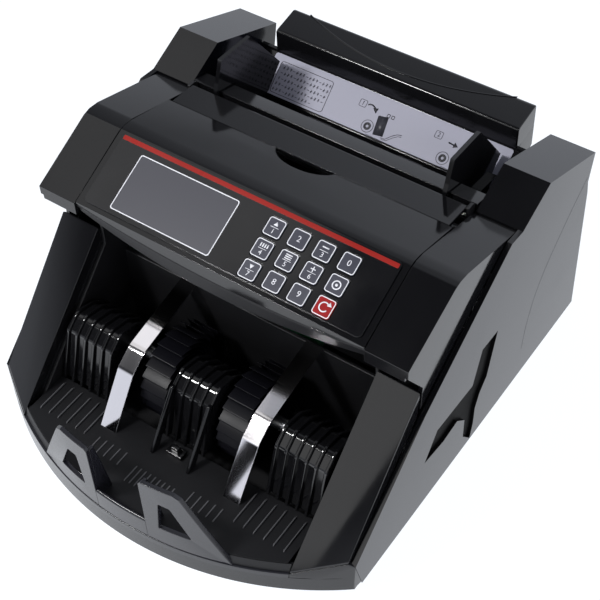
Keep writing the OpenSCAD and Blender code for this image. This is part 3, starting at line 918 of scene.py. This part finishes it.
def text_box():
    """Leaning box with five rows of plain marks, the last row shorter."""
    outer = rounded([(-76, 1.2), (-37, 1.2), (-38.4, 21.8), (-77.4, 21.8)], [2] * 4)
    inner = rounded([(-75.6, 1.55), (-37.4, 1.55), (-38.75, 21.45), (-77, 21.45)], [1.7] * 4)
    ink = [printed_ring(outer, inner)]
    for row, count in enumerate((15, 15, 15, 15, 12)):
        for k in range(count):
            u = -73.6 + k * TEXT_PITCH - row * 0.15
            ink += text_mark(u, 18.2 - row * TEXT_ROW, (k * 7 + row * 5) % 4)
    return ink


def diagram(number, cx, x):
    """Numbered box at cx, and a roller at x with the lines of the note path beside it."""
    cy = 16.9
    return [
        printed_ring(rounded_rect(cx, cy, 5, 4.6, 0.9), rounded_rect(cx, cy, 4.4, 4, 0.7)),
        glyph(number, 3.8, cx, cy, 0.0, INK, LABEL),
        printed_circle(x, 5.0, 4.0, 0.35),
        printed_circle(x, 5.0, 2.4, 1.5),
        printed_line([(x + 1, 0.2), (x + 21, -0.3)], 0.3),
        printed_line([(x + 1, -1.2), (x + 21, -1.7)], 0.3),
        printed_line([(x + 11, 1.6), (x + 14, 1.8), (x + 17, 5), (x + 20, 7.2), (x + 23, 7.8)], 0.35),
        printed_line([(x + 12, 0.9), (x + 15, 1.2), (x + 18, 4.2), (x + 21, 6.4), (x + 23, 6.8)], 0.3),
    ]


def label_print():
    """Loading diagrams: boxes with numbers, rollers, a leaning stack and rows of plain marks."""
    ink = text_box() + diagram("1", -14.9, -5.8) + diagram("2", 37.9, 46.3)
    # a bent arrow, then a straight one
    ink.append(printed_line(arc(-9.2, 13.9, 4, 125, 40, 8), 0.9))
    ink.append(printed([(-7.6, 16.4), (-4.2, 17.4), (-4.5, 13.9)]))
    ink.append(printed_line([(45.4, 15), (49.8, 14.6)], 0.9))
    ink.append(printed([(49.2, 16.4), (51.9, 14.4), (49, 12.9)]))
    for u in (3.8, 6.8):
        outer = rounded_rect(u, 15.6, 2.1, 2.3, 0.3)
        ink.append(printed_ring(outer, rounded_rect(u, 15.6, 1.3, 1.4, 0.2)))
    place(joined("label_ink", ink), "casing", "label_grey", finish="print_ink")
    stack = [printed([(-0.4, 1.6), (6.3, 2.6), (4.4, 14.6), (-2.2, 13.6)], INK - 0.015)]
    for k in range(5):
        u = 0.6 + k * 1.15
        note = [(u, 1.9 + k * 0.15), (u - 1.9, 13.6 + k * 0.17)]
        stack.append(printed_line(note, 0.16, INK + 0.02))
    place(joined("label_stack", stack), "casing", "label_grey", finish="display_grey")


def label():
    """Printed sheet on the back rest."""
    outline = rounded(rect(-83.5, -0.2, 83.5, 25.6), [1.5] * 4)
    o = to_object("label_sheet", plate(outline, -0.35, 0, LABEL))
    place(soften(o, 0.08, 1), "casing", "label_grey", "instruction_label")
    label_print()


GUIDE_EDGE = [(55.7, 144.6), (56.2, 146.6), (62.5, 165), (90.5, 163.8), (117.8, 127.5), (105, 113.8),
              (100.5, 112.2), (72.6, 133.8), (72.6, 141.9), (59.4, 145.4), (58.1, 145.4), (58.1, 127),
              (55.7, 127)]
GUIDE_FOOT = [(99.6, 113.2), (104.2, 113.6), (109.5, 118.6), (92, 121), (90.4, 120.5)]
GUIDE_HUB = rect(50.5, 116, 62.5, 128)
GUIDE_X = 77
RAIL = (56.5, 122)
RAIL_HOLE_R = 3.06


def guides():
    """Six-sided note guides, each with a foot and a hub on the rail."""
    for name, body, mirror in (("guide_right", "guide_r", False), ("guide_left", "guide_l", True)):
        add = [plate(GUIDE_EDGE, GUIDE_X - 1, GUIDE_X + 1.6),
               plate(GUIDE_FOOT, GUIDE_X - 0.9, GUIDE_X + 4.6),
               plate(GUIDE_HUB, GUIDE_X - 7, GUIDE_X + 3.5)]
        bore = rod(RAIL, RAIL_HOLE_R, GUIDE_X - 8, GUIDE_X + 5)
        place(soften(carved(name + "_plate", add, [bore], mirror), 0.8, 3), body, "gloss_black_abs", name)


# ---------------------------------------------------------------- stacker
COLUMN_INNER = [(-37.4, 103), (-122.3, 19.2), (-122.3, 14.9), (-100, 14.9), (-31, 92)]
COLUMN_OUTER = [(-37.5, 103), (-43, 97), (-105, 29.4), (-105, 14.9), (-97, 14.9), (-39, 86.4)]
SIDE_WALL = [(-112, 15.5), (-36, 90), (-36, 122), (-18, 122), (-18, 8), (-90, 8), (-90, 15.5)]
BASE_CORNER = [(95, -122.7, 14.2), (95, -122.7, 18.5), (108, -115.1, 14.2), (121.4, -105.4, 28.6),
               (124.8, -103.3, 26.1), (118, -107.9, 3.1), (118, -107.9, 14.2), (123.9, -103.8, 3.1),
               (123.9, -103.8, 14.2), (124.8, -97.2, 3.1), (117, -96, 3.1), (117, -96, 26),
               (95, -118, 14.2)]


def stacker_housing():
    """Slanted columns, the corners below them and the dark walls inside."""
    columns = [hull([(s * COLUMN_X, y, z) for y, z in COLUMN_INNER]
                    + [(s * SKIRT_X, y, z) for y, z in COLUMN_OUTER]) for s in (-1, 1)]
    place(soften(joined("front_columns", columns), 0.8, 3, 20), "casing", "gloss_black_abs",
          "stacker_housing")
    # between the rim, the column and the front edge of the flank
    corners = [hull([(s * x, y, z) for x, y, z in BASE_CORNER]) for s in (-1, 1)]
    place(soften(joined("base_corners", corners), 0.4, 2), "casing", "gloss_black_abs",
          finish="satin_black_abs")
    walls = plate_pair(SIDE_WALL, *WALL_X)
    walls.append(box((-COLUMN_X, -21.6, 8), (COLUMN_X, -19.4, 72.6)))
    place(soften(joined("stacker_walls", walls), 0.4, 2), "casing", "matte_black_abs")


def bowed(half, setback, steps):
    """Points in plan along the bowed front, a little behind its face."""
    return [bow_point(x, BOW_R - setback, 0)[:2] for x in spread(half, steps)]


# Section of the rim: distance behind the face, height.
RIM = [(0, 3), (0, 14.9), (2.6, 14.9), (2.6, 5.5), (9, 5.5), (9, 3)]
RIM_HALF = 124.2
RIM_STEPS = 48
BOTTOM_HALF = 120.8
VENT_PITCH = 9
VENT_HALF = 1.6


def base_tray():
    """Bowed rim with its side rails, and the bottom plate behind it with vents."""
    # the steps shrink towards the ends, where the bow is steepest
    places = [RIM_HALF * math.sin(math.radians(90 * t)) for t in spread(1, RIM_STEPS)]
    rim = loft([[bow_point(x, BOW_R - back, z) for back, z in RIM] for x in places])
    o = joined("base_rim", [rim] + plate_pair(rect(-99, 3, 142, 11), 117.7, 120.3))
    place(soften(o, 0.4, 2), "casing", "matte_black_abs", "base_tray", finish="satin_black_abs")
    floor = bowed(BOTTOM_HALF, 6, 24) + [(BOTTOM_HALF, 143), (-BOTTOM_HALF, 143)]
    places = [i * VENT_PITCH for i in range(-8, 1)]
    slots = [box((x - VENT_HALF, 10, 0), (x + VENT_HALF, 46, 9)) for x in places]
    bottom = carved("base_plate", [plate(floor, 3, 5.5, TOP)], slots)
    place(soften(bottom, 0.4, 2), "casing", "matte_black_abs")


def along(corners, counts):
    """Closed outline with a set number of equal steps on each side."""
    pts = []
    for (a, b), n in zip(zip(corners, corners[1:] + corners[:1]), counts):
        pts += [tuple(Vector(a).lerp(Vector(b), k / n)) for k in range(n)]
    return pts


# Front stop: a tab and its window in X and Z, with the steps on each side of the outline.
TAB = [(17.5, 15.4), (17.5, 69), (19, 70.5), (38.5, 70.5), (42, 68.3), (68, 15.4)]
TAB_WINDOW = [(25.9, 32.6), (28.2, 56), (28.8, 56.6), (34.6, 56.1), (35.3, 55.6), (45.6, 32.6)]
TAB_STEPS = [12, 2, 6, 2, 12, 14]
STOP_FRONT = BOW_R - 0.4
STOP_BACK = BOW_R - 3.2


def stop_tab():
    """Tab with its window, bent onto the bow."""
    outer = along(TAB, TAB_STEPS)
    inner = along(TAB_WINDOW, TAB_STEPS)
    loops = ((outer, STOP_FRONT), (outer, STOP_BACK), (inner, STOP_BACK), (inner, STOP_FRONT))
    return closed_band([[bow_point(x, r, z) for x, z in loop] for loop, r in loops])


def stop_flange():
    """Stiffening flange behind the tab's inner edge, deeper at its foot."""
    y = bow_point(18, STOP_BACK, 0)[1]
    return loft([[bow_point(17.5, STOP_BACK + 0.4, z), bow_point(19.3, STOP_BACK + 0.4, z),
                  (19.3, y + depth, z), (17.5, y + depth, z)]
                 for z, depth in ((15.6, 11), (30, 9), (50, 6), (68, 3))])


def front_stop():
    """Two windowed tabs, the low wall between them and the skirt below."""
    wall = [(STOP_FRONT, 15.4), (STOP_FRONT, 32.6), (STOP_FRONT - 0.9, 33.5), (STOP_BACK + 0.9, 33.5),
            (STOP_BACK, 32.6), (STOP_BACK, 15.4)]
    skirt = [(BOW_R, 14.2), (BOW_R, 18.4), (STOP_BACK + 1, 18.4), (STOP_BACK + 1, 14.2)]
    parts = [mirrored(stop_tab()), mirrored(stop_flange()), stop_tab(), stop_flange()]
    for section, half, steps in ((wall, 17.6, 6), (skirt, COVER_X, 20)):
        parts.append(loft([[bow_point(x, r, z) for r, z in section] for x in spread(half, steps)]))
    o = joined("front_stop_tabs", parts)
    place(soften(o, 0.5, 3), "casing", "gloss_black_abs", "front_stop", finish="tab_black")


# Section of the floor's front edge: distance behind the face, height.
NOSE = [(3.4, 23.9), (1.2, 18.2), (1.2, 15.1), (6, 15.1), (6, 21.9), (3.7, 21.9)]

# Ribs on the floor: in front of the outer combs, in the middle and behind the tabs.
LONG_RIB = [(-116, 24), (-115, 25.1), (-95, 25.2), (-93, 24)]
MIDDLE_RIB = [(-128, 23.9), (-127.5, 24.5), (-116.5, 24.5), (-116, 23.9)]
TAB_RIB = [(-122, 23.9), (-121.4, 24.6), (-112.4, 24.6), (-112, 23.9)]
# Side outline, half width and places across.
FLOOR_RIBS = [
    (LONG_RIB, 0.35, [s * (53.5 + i * 6.7) for s in (-1, 1) for i in range(6)]),
    (MIDDLE_RIB, 0.4, [i * 3.4 for i in range(-4, 5)]),
    (TAB_RIB, 0.4, [s * (24 + i * 5) for s in (-1, 1) for i in range(5)]),
]


def stacker_floor():
    """Floor with its bowed front edge and the fine ribs that the notes slide on."""
    floor = bowed(FLOOR_X, 3.6, 24) + [(FLOOR_X, -90), (-FLOOR_X, -90)]
    place(soften(to_object("stacker_floor_plate", plate(floor, 22, 24, TOP)), 0.22, 2), "casing",
          "gloss_black_abs", "stacker_floor", finish="floor_black")
    nose = loft([[bow_point(x, BOW_R - back, z) for back, z in NOSE] for x in spread(94.8, 30)])
    place(soften(to_object("stacker_floor_nose", nose), 0.4, 2), "casing", "gloss_black_abs",
          finish="floor_black")
    # the ribs are light grey all over, a painted highlight along each rib
    ribs = [plate(outline, x - half, x + half) for outline, half, places in FLOOR_RIBS for x in places]
    place(soften(joined("stacker_floor_ribs", ribs), 0.22, 2), "casing", "gloss_black_abs",
          finish="rib_painted_highlight")


RIB = [(-91, 24.2), (-80, 57), (-70, 64.6), (-56, 61), (-46, 52), (-43, 44), (-43, 24.2)]
RIB_RADII = [0, 6, 8, 8, 6, 4, 0]
FILLER = [(-88.5, 24.2), (-78.8, 56), (-70, 62.9), (-57, 59.6), (-48, 51), (-45, 43.5), (-45, 24.2)]
FILLER_RADII = [0, 5, 7, 7, 5, 4, 0]
LEG = [(-105, 24.2), (-80.5, 59), (-76, 58), (-98, 24.2)]
RIB_PITCH = 6.45
RIB_HALF = 1
COMB_X = 58.2

# Name, place of the first rib, number of ribs.
COMBS = [
    ("comb_right", COMB_X, 6),
    ("comb_left", -COMB_X - 5 * RIB_PITCH, 6),
    ("comb_centre", -2 * RIB_PITCH, 5),
]


def combs():
    """Ribbed combs right, left and between the wheels; the centre one has two legs."""
    for name, x0, n in COMBS:
        places = [x0 + i * RIB_PITCH for i in range(n)]
        parts = [plate(rounded(RIB, RIB_RADII), x - RIB_HALF, x + RIB_HALF) for x in places]
        parts.append(plate(rounded(FILLER, FILLER_RADII), places[0] - 0.8, places[-1] + 0.8))
        if name == "comb_centre":
            parts += [plate(LEG, x - RIB_HALF, x + RIB_HALF) for x in (places[0], places[-1])]
            # small sensor bracket between the legs
            parts.append(box((-6, -100, 24), (5, -94, 26.5)))
            parts.append(box((-3, -98.5, 26.5), (2, -95, 30)))
        place(soften(joined(name + "_ribs", parts), 0.55, 3), "casing", "gloss_black_abs", name)


STRIP_PATH = [(-105.6, 24.2), (-83.8, 54.9), (-72, 63.2), (-22, 74.6)]
STRIP_RADII = [0, 9, 14, 0]
STRIP_X0 = 38.5
STRIP_X1 = 49.5
STRIP_THICK = 1.2


def strips():
    """Bent steel strips that the notes land on."""
    path = rounded(STRIP_PATH, STRIP_RADII, 9)
    for name, s in (("strip_right", 1), ("strip_left", -1)):
        rings = []
        for i, p in enumerate(path):
            a = Vector(path[max(0, i - 1)])
            b = Vector(path[min(len(path) - 1, i + 1)])
            t = (b - a).normalized()
            q = Vector(p) + Vector((t.y, -t.x)) * STRIP_THICK
            rings.append([(s * STRIP_X0, *p), (s * STRIP_X1, *p), (s * STRIP_X1, *q), (s * STRIP_X0, *q)])
        o = to_object(name + "_band", loft(rings))
        place(soften(o, 0.18, 2), "casing", "polished_steel", name)


IMPELLER = (-54, 36)
WHEEL_R = 29.5
WHEEL_X0 = 18
WHEEL_X1 = 36.5
HUB_R = 11
BORE_R = 4
FLAP_ROOT_R = 9
FLAP_SWEEP = math.radians(95)
FLAP_STEPS = 10
FLAPS = 26


def wheel_flap(start):
    """Outline of one curved flap that leaves the hub at an angle and thins towards its tip."""
    outer = []
    inner = []
    for i in range(FLAP_STEPS + 1):
        r = FLAP_ROOT_R + i * (WHEEL_R - FLAP_ROOT_R) / FLAP_STEPS
        a = start + FLAP_SWEEP * i / FLAP_STEPS
        thick = 1.0 - 0.02 * i
        for side, angle in ((outer, a), (inner, a - thick / r)):
            side.append((IMPELLER[0] + r * math.cos(angle), IMPELLER[1] + r * math.sin(angle)))
    return outer + inner[::-1]


def wheels():
    """Stacking wheels: hub with thin curved flaps."""
    hub = arc(*IMPELLER, HUB_R, 0, 350, 35)
    bore = arc(*IMPELLER, BORE_R, 0, 350, 35)
    parts = []
    for x0, x1 in ((WHEEL_X0, WHEEL_X1), (-WHEEL_X1, -WHEEL_X0)):
        parts.append(ring_plate(hub, bore, x0, x1, SIDE))
        for k in range(FLAPS):
            parts.append(plate(wheel_flap(2 * math.pi * k / FLAPS), x0 + 0.4, x1 - 0.4))
    place(soften(joined("stacking_wheels", parts), 0.25, 2), "impeller", "wheel_black",
          "impeller_wheels")


# ---------------------------------------------------------------- assembly
make_camera()
make_studio()
paint_cad()
for side, flip, sign in (("side_cover_right", False, 1), ("side_cover_left", True, -1)):
    side_cover(side + "_shell", flip)
    flank_crease(side + "_crease", sign)
hood()
central_cover()
key_panel()
jam_flap()
hopper_plate()
back_rest()
label()
guides()
stacker_housing()
base_tray()
front_stop()
stacker_floor()
combs()
strips()
wheels()
round_cad(0.4, "rear_panel", "mains_inlet", "rocker_switch", "fuse_holder", "rubber_feet",
          "retard_block")
